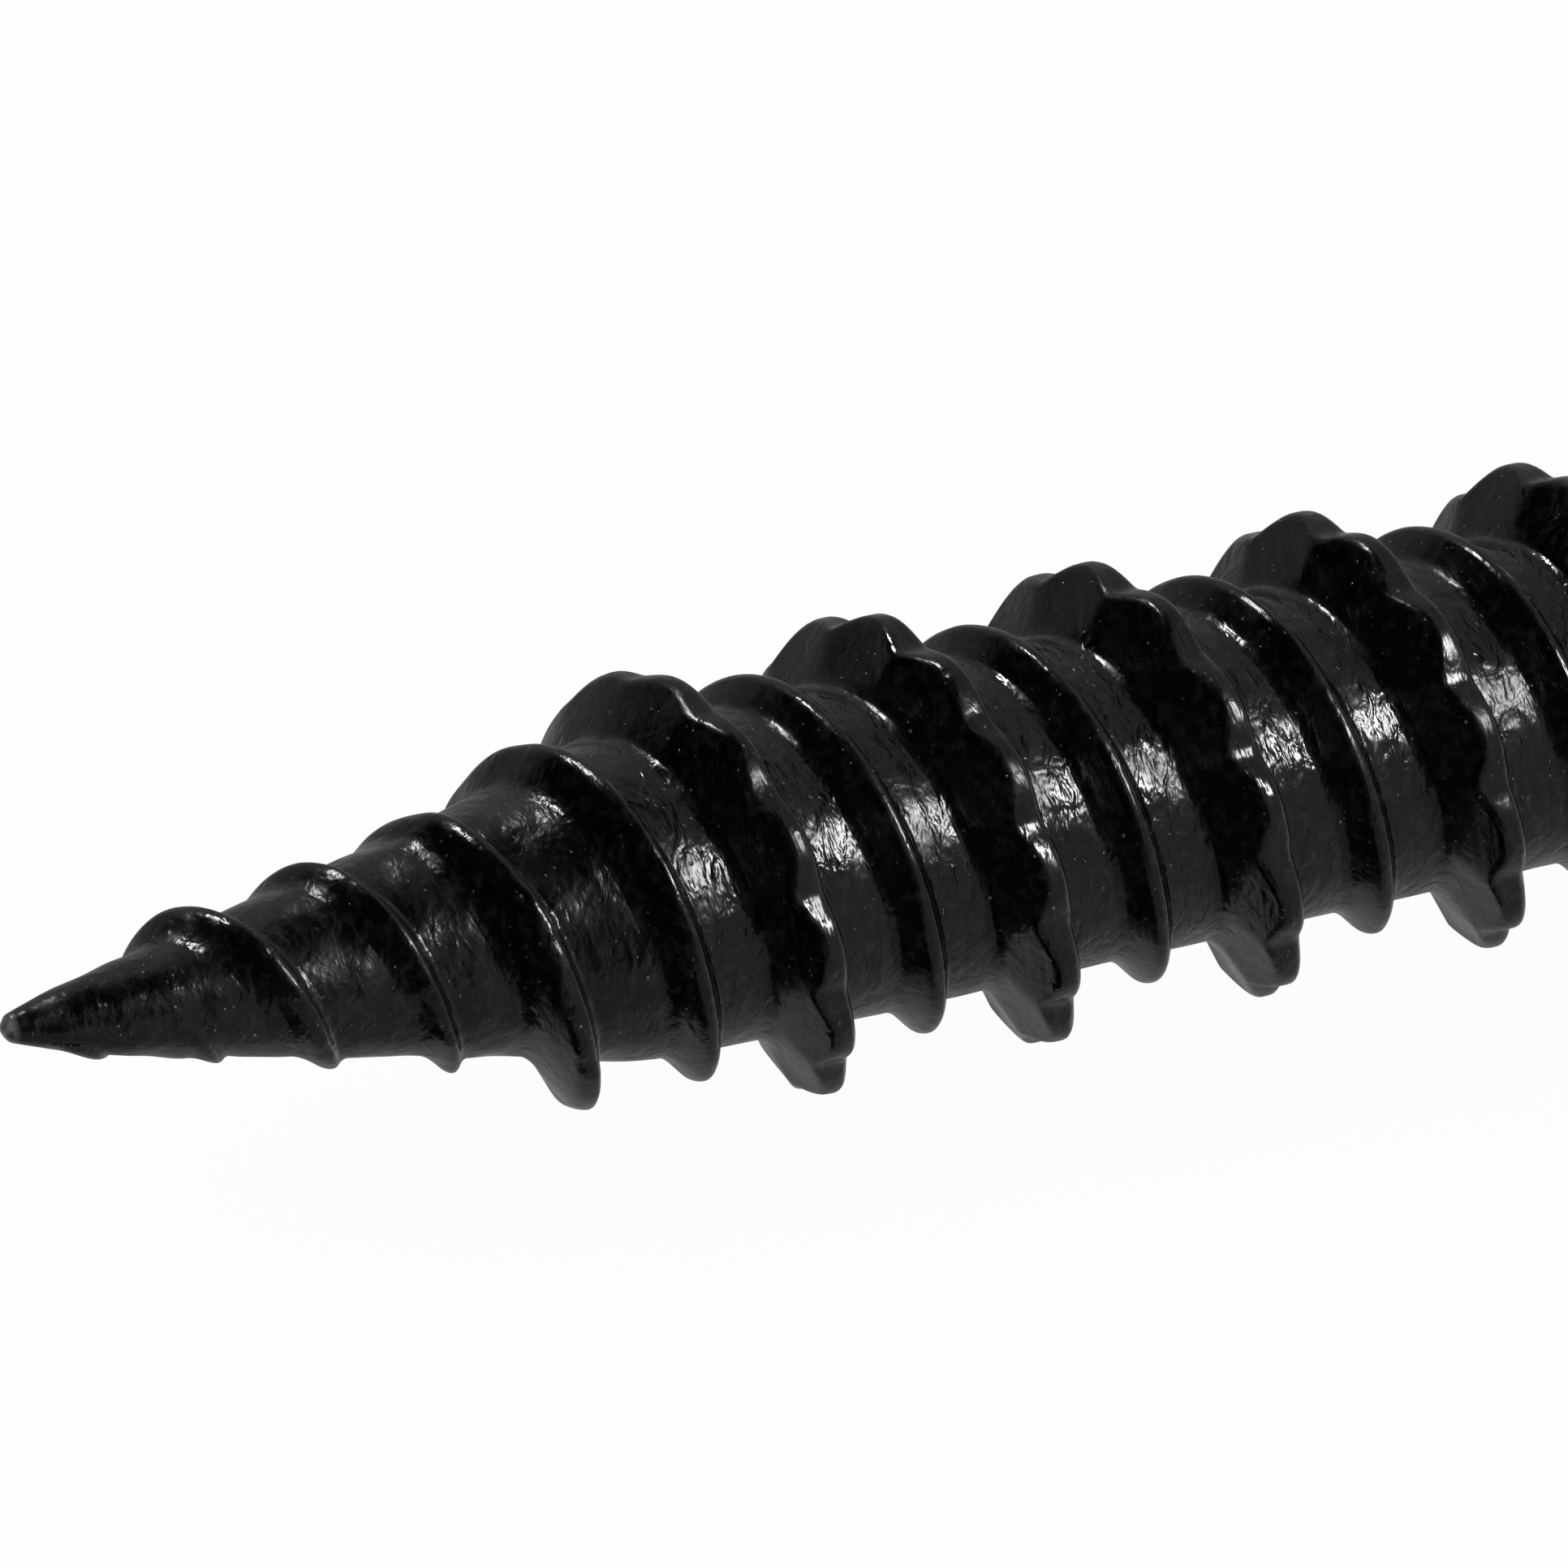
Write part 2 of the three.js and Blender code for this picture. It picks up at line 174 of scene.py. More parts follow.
def black_coating(name, gloss, peel, dust):
    """Gloss black coating. gloss is its lowest roughness, peel the depth of its orange peel in micrometres,
    and dust the share of specks. It is smeared and less glossy where it has pooled on the point."""
    material = bpy.data.materials.new(name)
    material.use_nodes = True
    nodes, links = material.node_tree.nodes, material.node_tree.links
    shader = nodes["Principled BSDF"]
    place = nodes.new("ShaderNodeTexCoord")
    to_mm = nodes.new("ShaderNodeMapping")
    to_mm.inputs["Scale"].default_value = (1 / MM,) * 3
    links.new(place.outputs["Object"], to_mm.inputs["Vector"])

    def noise(scale, detail, squeeze=1, distortion=0):
        """Noise with so many lumps a millimetre, squeezed along the screw so that lumps run round it."""
        node = nodes.new("ShaderNodeTexNoise")
        node.inputs["Scale"].default_value = scale
        node.inputs["Detail"].default_value = detail
        node.inputs["Distortion"].default_value = distortion
        squeezed = nodes.new("ShaderNodeMapping")
        squeezed.inputs["Scale"].default_value = (squeeze, 1, 1)
        links.new(to_mm.outputs["Vector"], squeezed.inputs["Vector"])
        links.new(squeezed.outputs["Vector"], node.inputs["Vector"])
        return node.outputs["Fac"]

    def remap(value, low, high, to_low, to_high):
        node = nodes.new("ShaderNodeMapRange")
        settings = {"From Min": low, "From Max": high, "To Min": to_low, "To Max": to_high}
        for socket, number in settings.items():
            node.inputs[socket].default_value = number
        links.new(value, node.inputs["Value"])
        return node.outputs["Result"]

    def maths(operation, a, b):
        node = nodes.new("ShaderNodeMath")
        node.operation = operation
        for socket, value in zip(node.inputs, (a, b)):
            if isinstance(value, (int, float)):
                socket.default_value = value
            else:
                links.new(value, socket)
        return node.outputs["Value"]

    def specks(per_mm, share, small, large):
        """Round spots from 0 to 1: a share of the cells of a grid, with so many cells a millimetre."""
        cells = nodes.new("ShaderNodeTexVoronoi")
        cells.inputs["Scale"].default_value = per_mm
        links.new(to_mm.outputs["Vector"], cells.inputs["Vector"])
        chance = nodes.new("ShaderNodeSeparateColor")
        links.new(cells.outputs["Color"], chance.inputs["Color"])
        spot = remap(cells.outputs["Distance"], small, large, 1.0, 0.0)
        return maths("MULTIPLY", spot, maths("GREATER_THAN", chance.outputs["Red"], 1 - share))

    split = nodes.new("ShaderNodeSeparateXYZ")
    links.new(to_mm.outputs["Vector"], split.inputs["Vector"])
    x, y, z = split.outputs
    # Fine lines left by the thread rolls run along the ridges: noise on a circle that each lead goes round.
    phase = maths("SUBTRACT", maths("MULTIPLY", x, 2 * math.pi / LEAD), maths("ARCTAN2", z, y))
    circle = nodes.new("ShaderNodeCombineXYZ")
    links.new(maths("COSINE", phase, 0), circle.inputs["X"])
    links.new(maths("SINE", phase, 0), circle.inputs["Y"])
    links.new(maths("MULTIPLY", x, 0.06), circle.inputs["Z"])
    roll_marks = nodes.new("ShaderNodeTexNoise")
    roll_marks.inputs["Scale"].default_value = 5
    links.new(circle.outputs["Vector"], roll_marks.inputs["Vector"])
    rolled = remap(x, TIP_X + CORE_END - 1, TIP_X + CORE_END, 0.24, 0.0)
    rolled = maths("MULTIPLY", rolled, remap(x, TIP_X + 5, TIP_X + POOLED_END, 0.2, 1.0))
    rolled = maths("MULTIPLY", roll_marks.outputs["Fac"], rolled)

    # The bare worn tip, then the smears and the roughness.
    worn = maths("MULTIPLY", remap(x, TIP_X, TIP_X + 0.2, 1.0, 0.0), remap(noise(5, 3), 0.3, 0.6, 0.2, 1.0))
    on_point = remap(x, TIP_X + POOLED_END - POOLED_FADE, TIP_X + POOLED_END, 1.0, 0.0)
    smear = maths("MULTIPLY", on_point, remap(noise(1.5, 6), 0.46, 0.58, 0.0, 1.0))
    rough = remap(noise(1.3, 4, 1.5), 0.4, 0.68, gloss, gloss * 2.4)
    rough = maths("ADD", rough, maths("MULTIPLY", smear, 0.05))

    # Dust, pits, orange peel and film: first how high each stands, then how grey each looks.
    dust_specks = specks(3.6, dust, 0.05, 0.12)
    fine_specks = specks(7, dust * 1.9, 0.08, 0.18)
    pits = specks(2.3, dust * 1.3, 0.06, 0.22)
    peel_height = maths("ADD", noise(2.3, 2, 1.9, 0.8), maths("MULTIPLY", noise(5.5, 2, 1.8, 0.5), 0.22))
    shown = nodes.new("ShaderNodeAttribute")
    shown.attribute_name = "peel"
    peel_height = maths("MULTIPLY", peel_height, shown.outputs["Fac"])
    film = remap(noise(5, 6, 1.3, 0.5), 0.5, 0.7, 0.0, 1.0)
    height = maths("ADD", peel_height, maths("MULTIPLY", smear, maths("MULTIPLY", noise(5, 1), 0.4)))
    height = maths("ADD", maths("ADD", height, rolled), maths("MULTIPLY", dust_specks, 0.5))
    height = maths("ADD", height, maths("MULTIPLY", fine_specks, 0.25))
    height = maths("SUBTRACT", height, maths("MULTIPLY", pits, 0.22))

    veil = maths("ADD", maths("MULTIPLY", film, 0.07), maths("MULTIPLY", dust_specks, 0.7))
    veil = maths("ADD", veil, maths("MULTIPLY", fine_specks, 0.22))
    tint = nodes.new("ShaderNodeMix")
    tint.data_type = "RGBA"
    tint.inputs[6].default_value = (0.0013, 0.0013, 0.0019, 1)
    tint.inputs[7].default_value = (0.10, 0.10, 0.105, 1)
    links.new(veil, tint.inputs[0])
    bared = nodes.new("ShaderNodeMix")
    bared.data_type = "RGBA"
    bared.inputs[7].default_value = (0.24, 0.24, 0.235, 1)
    links.new(worn, bared.inputs[0])
    links.new(tint.outputs[2], bared.inputs[6])
    links.new(bared.outputs[2], shader.inputs["Base Color"])
    links.new(maths("ADD", rough, maths("MULTIPLY", dust_specks, 0.25)), shader.inputs["Roughness"])
    bump = nodes.new("ShaderNodeBump")
    bump.inputs["Distance"].default_value = peel * 1e-6
    links.new(height, bump.inputs["Height"])
    links.new(bump.outputs["Normal"], shader.inputs["Normal"])
    return material


def settle(piece, material, *nodes):
    """Gives a piece its coating, stands it for its CAD nodes and lets it move with the screw."""
    piece.data.materials.append(material)
    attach(piece, "root")
    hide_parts(*nodes)


def around(steps):
    return np.arange(steps) * (2 * math.pi / steps)


ROOT_SIDES = 150
SEAM = 0.02  # sections run this far past the ends of the CAD pieces, so that no gap shows
coating = black_coating("black_coating", gloss=0.13, peel=40, dust=0.18)
core_places = np.linspace(CORE_START, CORE_END + SEAM, 360)
core = skin("thread_root", on_root(core_places[:, None], 0.0, around(ROOT_SIDES)[None, :]))
settle(core, coating, "thread_core")

# ---------------------------------------------------------------------------
# Point: the cone that was pressed between dies, with a blunt nose. Here the coating has pooled and smeared,
# so it is lumpier and partly matt.

TIP_FLAT = 0.004  # the first section lies this far from the tip
POINT_PEEL = 0.3  # share of the orange peel on the pooled coating
rise = np.linspace(0, 1, 120)
point_places = TIP_FLAT + (CORE_START - TIP_FLAT) * rise**1.35
point_peel = np.repeat(POINT_PEEL + (1 - POINT_PEEL) * rise[:, None] ** 6, ROOT_SIDES, axis=1)
point = skin("point_cone", on_root(point_places[:, None], 0.0, around(ROOT_SIDES)[None, :]), point_peel)
settle(point, coating, "point_core")

# ---------------------------------------------------------------------------
# High ridge: the tall start of the two-start thread, rolled up out of the wire. Its long slope faces the
# point and its steep face the head. Twelve rounded notches a turn make the crest saw through timber.

HIGH_AT_ZERO = 12.65  # place of its crest at +Y
HIGH_H = (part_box("high_thread")[1][2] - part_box("high_thread")[0][2]) / 2 / MM - ROOT_R
POINT_HIGH_FROM = 1.15
HIGH_FROM = 9.82  # the ridge on the point ends here and the one on the bar begins
HIGH_TO = 45.6
HIGH_STEPS = 190  # sections in a turn
PULL, PULL_FROM, PULL_EASE = 0.26, 9.5, 2.5  # shift towards the tip, where it begins and how long it takes
TOOTH_PITCH = math.radians(29.5)
NOTCH_TURN = math.radians(65.4)  # one notch, counted from +Y
NOTCH_DEPTH = 0.22
NOTCH_SOFTNESS = 0.035
NOTCH_LEAN = 0.22  # a notch's floor is this much wider towards the point than the crest
NOTCHES_FROM, NOTCHES_EASE = 9.2, 1.6
CREASE_STEPS = 7  # points on each rounded corner of the section
HIGH_ROUNDING = (0.26, 0.13, 0.12, 0.15)  # reach of each rounding: foot, crest, crest, foot
SINK = 0.005  # a ridge's feathered edge dips this far under the root's surface
PEEL_FADE = 0.12  # the orange peel ends at this height on a ridge
RIDGE_PEEL = 0.45
# Place from the tip and height: the ridge stands up at the tip, sinks on the cone and then grows.
HIGH_GROWTH = (
    (1.0, 0.0), (1.7, 0.1), (2.8, 0.36), (3.7, 0.24), (4.6, 0.15), (6.4, 0.15),
    (7.9, 0.66), (10, 0.82), (11.6, HIGH_H), (43.9, HIGH_H), (45.5, 0.0),
)
GROWTH_LENGTH, GROWTH_STEPS = 47, 1400  # a ridge's heights are worked out over this length, in so many steps
GROWTH_EASING = 25  # and each height is eased over this many steps
RIDGE_ROOTED = 0.3  # a ridge is closed inside the root, this share of the root's radius down


def grown(points, place):
    """Height of a ridge at each place, read from its list and eased so that no corner shows."""
    places, heights = np.array(points).T
    fine = np.linspace(0, GROWTH_LENGTH, GROWTH_STEPS)
    raw = np.interp(fine, places, heights)
    window = np.hanning(GROWTH_EASING)
    eased = np.convolve(np.pad(raw, len(window) // 2, mode="edge"), window / window.sum(), mode="valid")
    return np.interp(place, fine, eased)


def point_pull(place):
    """On the cone both ridges run a little nearer to the tip than the lead says."""
    return -PULL * np.clip((PULL_FROM - place) / PULL_EASE, 0, 1)


def rounded(corners, trims, steps):
    """Section lines from corner points, shaped (sections, corners, 2), with every inner corner rounded."""
    lines = [corners[:, :1]]
    t = np.linspace(0, 1, steps)[None, :, None]
    for i, trim in enumerate(trims, start=1):
        before, here, after = (corners[:, j : j + 1] for j in (i - 1, i, i + 1))
        back, ahead = before - here, after - here
        back_long = np.linalg.norm(back, axis=-1, keepdims=True) + 1e-9
        ahead_long = np.linalg.norm(ahead, axis=-1, keepdims=True) + 1e-9
        start = here + back * np.minimum(trim / back_long, 0.48)
        end = here + ahead * np.minimum(trim / ahead_long, 0.48)
        lines.append((1 - t) ** 2 * start + 2 * t * (1 - t) * here + t**2 * end)
    lines.append(corners[:, -1:])
    return np.concatenate(lines, axis=1)


def wound(name, turns, crest_places, corners, trims, steps):
    """Sweeps a ridge's section round the root and closes it underneath, inside the root. The coating has run
    smoother over the ridge, so the orange peel shows most along its feathered edges."""
    line = rounded(corners, trims, steps)
    places = crest_places[:, None] + line[:, :, 0]
    under = [places[:, -1:], places[:, :1]]
    places = np.concatenate([places, *under], axis=1)
    deep = -RIDGE_ROOTED * root_radius(places[:, -2:])
    heights = np.concatenate([line[:, :, 1], deep], axis=1)
    peel = np.clip(1 - heights / PEEL_FADE, RIDGE_PEEL, 1)
    return skin(name, on_root(places, heights, turns[:, None]), peel)


def high_ridge(name, start, end):
    """Its section is a foot, a flank and a crest on each side, in shares of a width that grows with it."""
    steps = int((end - start) / LEAD * HIGH_STEPS)
    places = np.linspace(start, end, steps)
    turns = (places - HIGH_AT_ZERO) / LEAD * 2 * math.pi
    height = grown(HIGH_GROWTH, places)
    share = height / HIGH_H
    tooth = np.sqrt(np.sin((turns - NOTCH_TURN) / TOOTH_PITCH * math.pi) ** 2 + NOTCH_SOFTNESS) ** 1.1
    gone = (1 - np.clip(tooth, 0, 1)) * np.clip((places - NOTCHES_FROM) / NOTCHES_EASE, 0, 1)
    width = 0.5 + 0.5 * share
    top = height - NOTCH_DEPTH * gone
    zero = np.zeros(steps)
    corners = np.stack(
        [
            np.stack([-0.73 * width - 0.3, zero - SINK], axis=1),
            np.stack([-0.71 * width, zero], axis=1),
            np.stack([-0.19 * width - NOTCH_LEAN * gone, top], axis=1),
            np.stack([0.13 * width, top], axis=1),
            np.stack([0.33 * width, zero], axis=1),
            np.stack([0.36 * width + 0.2, zero - SINK], axis=1),
        ],
        axis=1,
    )
    crest = places + point_pull(places)
    return wound(name, turns, crest, corners, HIGH_ROUNDING, CREASE_STEPS)


high = high_ridge("high_ridge", HIGH_FROM, HIGH_TO)
settle(high, coating, "high_thread")
point_high = high_ridge("high_ridge_on_point", POINT_HIGH_FROM, HIGH_FROM)
settle(point_high, coating, "point_high_thread")

# ---------------------------------------------------------------------------
# Low ridge: the second start, half a turn behind the first and less than half as tall. It is rolled with the
# high ridge and has a plain round crest.

LOW_AT_ZERO = HIGH_AT_ZERO + 0.479 * LEAD
LOW_H = (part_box("low_thread")[1][2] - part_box("low_thread")[0][2]) / 2 / MM - ROOT_R
POINT_LOW_FROM = 2.3
LOW_STEPS = 150  # sections in a turn
LOW_PULL = 0.6  # its shift towards the tip, as a share of the high ridge's
LOW_ROUNDING = (0.2, 0.11, 0.11, 0.12)
LOW_GROWTH = ((2.2, 0.0), (3.0, 0.1), (4.6, 0.2), (6.3, 0.16), (7.9, LOW_H), (44.2, LOW_H), (45.5, 0.0))


def low_ridge(name, start, end):
    steps = int((end - start) / LEAD * LOW_STEPS)
    places = np.linspace(start, end, steps)
    turns = (places - LOW_AT_ZERO) / LEAD * 2 * math.pi
    height = grown(LOW_GROWTH, places)
    width = 0.55 + 0.45 * height / LOW_H
    zero = np.zeros(steps)
    corners = np.stack(
        [
            np.stack([-0.43 * width - 0.22, zero - SINK], axis=1),
            np.stack([-0.42 * width, zero], axis=1),
            np.stack([-0.08 * width, height], axis=1),
            np.stack([0.10 * width, height], axis=1),
            np.stack([0.25 * width, zero], axis=1),
            np.stack([0.26 * width + 0.16, zero - SINK], axis=1),
        ],
        axis=1,
    )
    crest = places + LOW_PULL * point_pull(places)
    return wound(name, turns, crest, corners, LOW_ROUNDING, CREASE_STEPS - 1)


low = low_ridge("low_ridge", HIGH_FROM, HIGH_TO)
settle(low, coating, "low_thread")
point_low = low_ridge("low_ridge_on_point", POINT_LOW_FROM, HIGH_FROM)
settle(point_low, coating, "point_low_thread")

# ---------------------------------------------------------------------------
# Shank: the plain part of the wire above the thread, a little thicker than the root, with a short flare
# where the thread rolls stopped.

SHANK_LOW, SHANK_HIGH = (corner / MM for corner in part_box("shank"))
SHANK_R = (SHANK_HIGH.z - SHANK_LOW.z) / 2
SHANK_FLARE = 1.0
SHANK_PLAIN_FROM = 1.2  # above the flare, the plain part's sections start here
NECK_START = SHANK_HIGH.x - TIP_X
BODY_SIDES = 180
SMOOTH_PEEL = 0.45  # share of the orange peel on the shank and the head


def turned(name, places, radii):
    """A round section of the screw from its radius at each place. It is coated smoother than the thread."""
    loops = round_axis(places[:, None], radii[:, None], around(BODY_SIDES)[None, :])
    return skin(name, loops, np.full(loops.shape[:2], SMOOTH_PEEL))


flare_from = CORE_END + SEAM
shank_places = np.concatenate(
    [
        np.linspace(flare_from, flare_from + SHANK_FLARE, 24),
        np.linspace(flare_from + SHANK_PLAIN_FROM, NECK_START, 150),
    ]
)
ease = np.clip((shank_places - flare_from) / SHANK_FLARE, 0, 1)
shank = turned("shank", shank_places, ROOT_R + (SHANK_R - ROOT_R) * ease**2 * (3 - 2 * ease))
settle(shank, coating, "shank")

# ---------------------------------------------------------------------------
# Cutter ridges: four short twisted ribs rolled up out of the shank. They ream the hole a little wider so
# that the shank drives easily.

CUTTER_TWIST = math.radians(9)  # turn for each millimetre along the screw
CUTTER_RIDGES = 4
CUTTER_HEIGHT, CUTTER_HALF_WIDTH = 0.38, 0.45
CUTTER_STEPS = 90
# A rib's section: share of its half width, then 0 at the foot, 1 at the crest, or a feathered edge's depth.
RIB_SECTION = ((-1.5, -SINK), (-1, 0), (-0.3, 1), (0.3, 1), (1, 0), (1.5, -SINK))
RIB_ROUNDING = (0.14, 0.16, 0.16, 0.14)
RIB_DEPTH = 0.3  # a rib is closed this deep in the steel


def lengthwise_rib(name, places, turns, radii, height, half_width):
    """A rounded rib along the screw that rises from nothing and sinks back, closed below in the steel."""
    share = np.linspace(0, 1, len(places))
    swell = np.clip(np.sin(math.pi * share) * 2.2, 0, 1) ** 0.8
    top = height * swell
    zero = np.zeros(len(places))
    wide = half_width * (0.45 + 0.55 * swell)
    rows = [(across * wide, top if level == 1 else zero + level) for across, level in RIB_SECTION]
    corners = np.stack([np.stack(row, axis=1) for row in rows], axis=1)
    line = rounded(corners, RIB_ROUNDING, 6)
    below = [line[:, end] * (0.8, 0) - (0, RIB_DEPTH) for end in (slice(-1, None), slice(0, 1))]
    line = np.concatenate([line, *below], axis=1)
    offsets = line[:, :, 0] / radii[:, None]
    loops = round_axis(places[:, None], radii[:, None] + line[:, :, 1], turns[:, None] + offsets)
    return skin(name, loops, np.full(loops.shape[:2], SMOOTH_PEEL))


for k in range(CUTTER_RIDGES):
    node = f"cutter_ridge_{k + 1}"
    cutter_from, cutter_to = (corner.x / MM - TIP_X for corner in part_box(node))
    places = np.linspace(cutter_from, cutter_to, CUTTER_STEPS)
    turns = 2 * math.pi * k / CUTTER_RIDGES + CUTTER_TWIST * (places - cutter_from)
    radii = np.full(CUTTER_STEPS, SHANK_R)
    cutter = lengthwise_rib(node + "_rolled", places, turns, radii, CUTTER_HEIGHT, CUTTER_HALF_WIDTH)
    settle(cutter, coating, node)

# ---------------------------------------------------------------------------
# Neck: a hollow fillet that carries the shank smoothly into the countersunk head. It is the same steel,
# shaped when the head is upset from the wire, and has the same coating.

NECK_FILLET = 1.4
HEAD_SLOPE = math.radians(45)  # half of the countersink's angle
HEAD_LOW, HEAD_HIGH = (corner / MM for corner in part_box("head"))
bend = np.linspace(0, HEAD_SLOPE, 26)
neck_places = NECK_START + NECK_FILLET * np.sin(bend)
neck = turned("neck_fillet", neck_places, SHANK_R + NECK_FILLET * (1 - np.cos(bend)))
settle(neck, coating, "neck")

# ---------------------------------------------------------------------------
# Head: countersunk, upset cold from the wire, with a short rim. The six-lobe drive recess is punched in, so
# its lip is rounded and its wall draws in a little towards the flat floor.

HEAD_R = HEAD_HIGH.z
HEAD_FACE = HEAD_HIGH.x - TIP_X
RIM_WIDTH = 0.45
RECESS_R, WAIST_R, LOBE_R, RECESS_DEPTH = 2.8, 1.975, 0.463, 3.0
LIP = 0.16  # rounding of the recess's mouth
FLOOR_ROUNDING = 0.12
WALL_DRAFT = 0.04
FACE_BAND = 1  # the face's round loops end this far outside the lobes and then turn into their outline
HEAD_WAVE, HEAD_WAVE_SIZE = 0.008, 0.7  # the coating's waves on the faces
SIXTH = math.pi / 3
HEAD_SIDES = 240


def six_lobe(turns, grow):
    """Radius of the drive's outline, grown outwards: small round lobes joined by larger hollow arcs."""
    lobe_at = RECESS_R - LOBE_R
    hollow_r = (lobe_at**2 + WAIST_R**2 - math.sqrt(3) * lobe_at * WAIST_R - LOBE_R**2) / (
        2 * LOBE_R - 2 * WAIST_R + math.sqrt(3) * lobe_at
    )
    hollow_at = WAIST_R + hollow_r
    to_hollow = np.array([hollow_at * math.cos(SIXTH / 2) - lobe_at, hollow_at * math.sin(SIXTH / 2)])
    touch = np.array([lobe_at, 0]) + LOBE_R * to_hollow / np.linalg.norm(to_hollow)
    from_lobe = np.abs((turns + SIXTH / 2) % SIXTH - SIXTH / 2)
    from_hollow = SIXTH / 2 - from_lobe
    lobe_rise = np.sqrt(np.clip(LOBE_R**2 - (lobe_at * np.sin(from_lobe)) ** 2, 0, None))
    on_lobe = lobe_at * np.cos(from_lobe) + lobe_rise
    hollow_rise = np.sqrt(hollow_r**2 - (hollow_at * np.sin(from_hollow)) ** 2)
    in_hollow = hollow_at * np.cos(from_hollow) - hollow_rise
    return np.where(from_lobe < math.atan2(touch[1], touch[0]), on_lobe, in_hollow) + grow


def resampled(line, step):
    """More points on a line of straight stretches, so that none is longer than a step."""
    finer = [line[:1]]
    for start, end in zip(line, line[1:]):
        parts = max(1, math.ceil(np.linalg.norm(end - start) / step))
        finer.append(start + (end - start) * (np.arange(1, parts + 1) / parts)[:, None])
    return np.concatenate(finer)


head_turns = around(HEAD_SIDES)
outside = np.array(
    [
        [neck_places[-1], SHANK_R + NECK_FILLET * (1 - math.cos(HEAD_SLOPE))],
        [HEAD_FACE - RIM_WIDTH, HEAD_R],
        [HEAD_FACE, HEAD_R],
        [HEAD_FACE, RECESS_R + FACE_BAND],
    ]
)
outside = resampled(rounded(outside[None], (0.12, 0.14), 9)[0], 0.22)
loops = [(place, np.full(HEAD_SIDES, radius)) for place, radius in outside]
mouth = six_lobe(head_turns, LIP)
for share in np.linspace(0, 1, 7)[1:]:
    loops.append((HEAD_FACE, (1 - share) * (RECESS_R + FACE_BAND) + share * mouth))
for turn in np.linspace(0, math.pi / 2, 9)[1:]:
    loops.append((HEAD_FACE - LIP * (1 - math.cos(turn)), six_lobe(head_turns, LIP * (1 - math.sin(turn)))))
for share in np.linspace(0, 1, 22)[1:]:
    depth = LIP + (RECESS_DEPTH - FLOOR_ROUNDING - LIP) * share
    loops.append((HEAD_FACE - depth, six_lobe(head_turns, -WALL_DRAFT * share)))
for turn in np.linspace(0, math.pi / 2, 6)[1:]:
    depth = RECESS_DEPTH - FLOOR_ROUNDING * (1 - math.sin(turn))
    inset = WALL_DRAFT + FLOOR_ROUNDING * (1 - math.cos(turn))
    loops.append((HEAD_FACE - depth, six_lobe(head_turns, -inset)))
floor_edge = loops[-1][1]
for share in (0.8, 0.6, 0.4, 0.2):
    loops.append((HEAD_FACE - RECESS_DEPTH, floor_edge * share))
head_places = np.array([place for place, _ in loops])[:, None]
head_loops = round_axis(head_places, np.array([radii for _, radii in loops]), head_turns[None, :])
head_waves = HEAD_WAVE * lattice_noise(head_loops.reshape(-1, 3), HEAD_WAVE_SIZE, 13)
head_loops[:, :, 0] += head_waves.reshape(head_loops.shape[:2])
head = skin("countersunk_head", head_loops, np.full(head_loops.shape[:2], SMOOTH_PEEL))
settle(head, coating, "head")

# ---------------------------------------------------------------------------
# Head ribs: six short ribs pressed out of the steel under the head, and coated with it. They cut the
# countersink into the timber as the screw is driven home.

HEAD_RIBS = 6
RIB_HEIGHT, RIB_HALF_WIDTH = 0.3, 0.35
RIB_STEPS = 60
for k in range(HEAD_RIBS):
    node = f"head_rib_{k + 1}"
    rib_from, rib_to = (corner.x / MM - TIP_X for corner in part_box(node))
    places = np.linspace(rib_from, rib_to, RIB_STEPS)
    radii = outside[0, 1] + (places - outside[0, 0]) * math.tan(HEAD_SLOPE)
    turns = np.full(RIB_STEPS, 2 * math.pi * k / HEAD_RIBS)
    rib = lengthwise_rib(node + "_pressed", places, turns, radii, RIB_HEIGHT, RIB_HALF_WIDTH)
    settle(rib, coating, node)

# ---------------------------------------------------------------------------
# Floor: a plain white light table, so hardly any shadow shows. The screw rests on its head rim and on the
# thread, so the table slopes a little against the screw's axis.

FULL_THREAD_FROM = 11.6
CLEARANCE = 0.03
RIM_REST = 0.3  # the rim rests on the table this far below the head's face
rim = Vector((HEAD_HIGH.x - RIM_REST, 0, HEAD_LOW.z)) * MM
thread_rest = Vector((TIP_X + FULL_THREAD_FROM, 0, -(ROOT_R + HIGH_H))) * MM
slope = math.atan2(rim.z - thread_rest.z, rim.x - thread_rest.x)
table_middle = (rim + thread_rest) / 2 - Vector((0, 0, CLEARANCE)) * MM
bpy.ops.mesh.primitive_plane_add(size=4, location=table_middle)
floor = bpy.context.object
floor.name = "table"
floor.rotation_euler = (0, -slope, 0)
table = bpy.data.materials.new("pale_table")
table.use_nodes = True
table_shader = table.node_tree.nodes["Principled BSDF"]
table_shader.inputs["Base Color"].default_value = (0.16, 0.16, 0.16, 1)
table_shader.inputs["Roughness"].default_value = 0.9
table_shader.inputs["Specular IOR Level"].default_value = 0.1
table_shader.inputs["Emission Color"].default_value = (1, 1, 1, 1)
table_shader.inputs["Emission Strength"].default_value = 0.96
floor.data.materials.append(table)
floor.visible_glossy = False
floor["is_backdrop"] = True

# ---------------------------------------------------------------------------
# Studio light: a plain grey surround with black cards on the point's side, and zones that are lighter or
# darker than the rest. Small soft boxes light one end of the screw each, so the table stays plain.

scene = bpy.context.scene
world = bpy.data.worlds.new("surround")
world.use_nodes = True
sky = world.node_tree
direction = sky.nodes.new("ShaderNodeTexCoord")


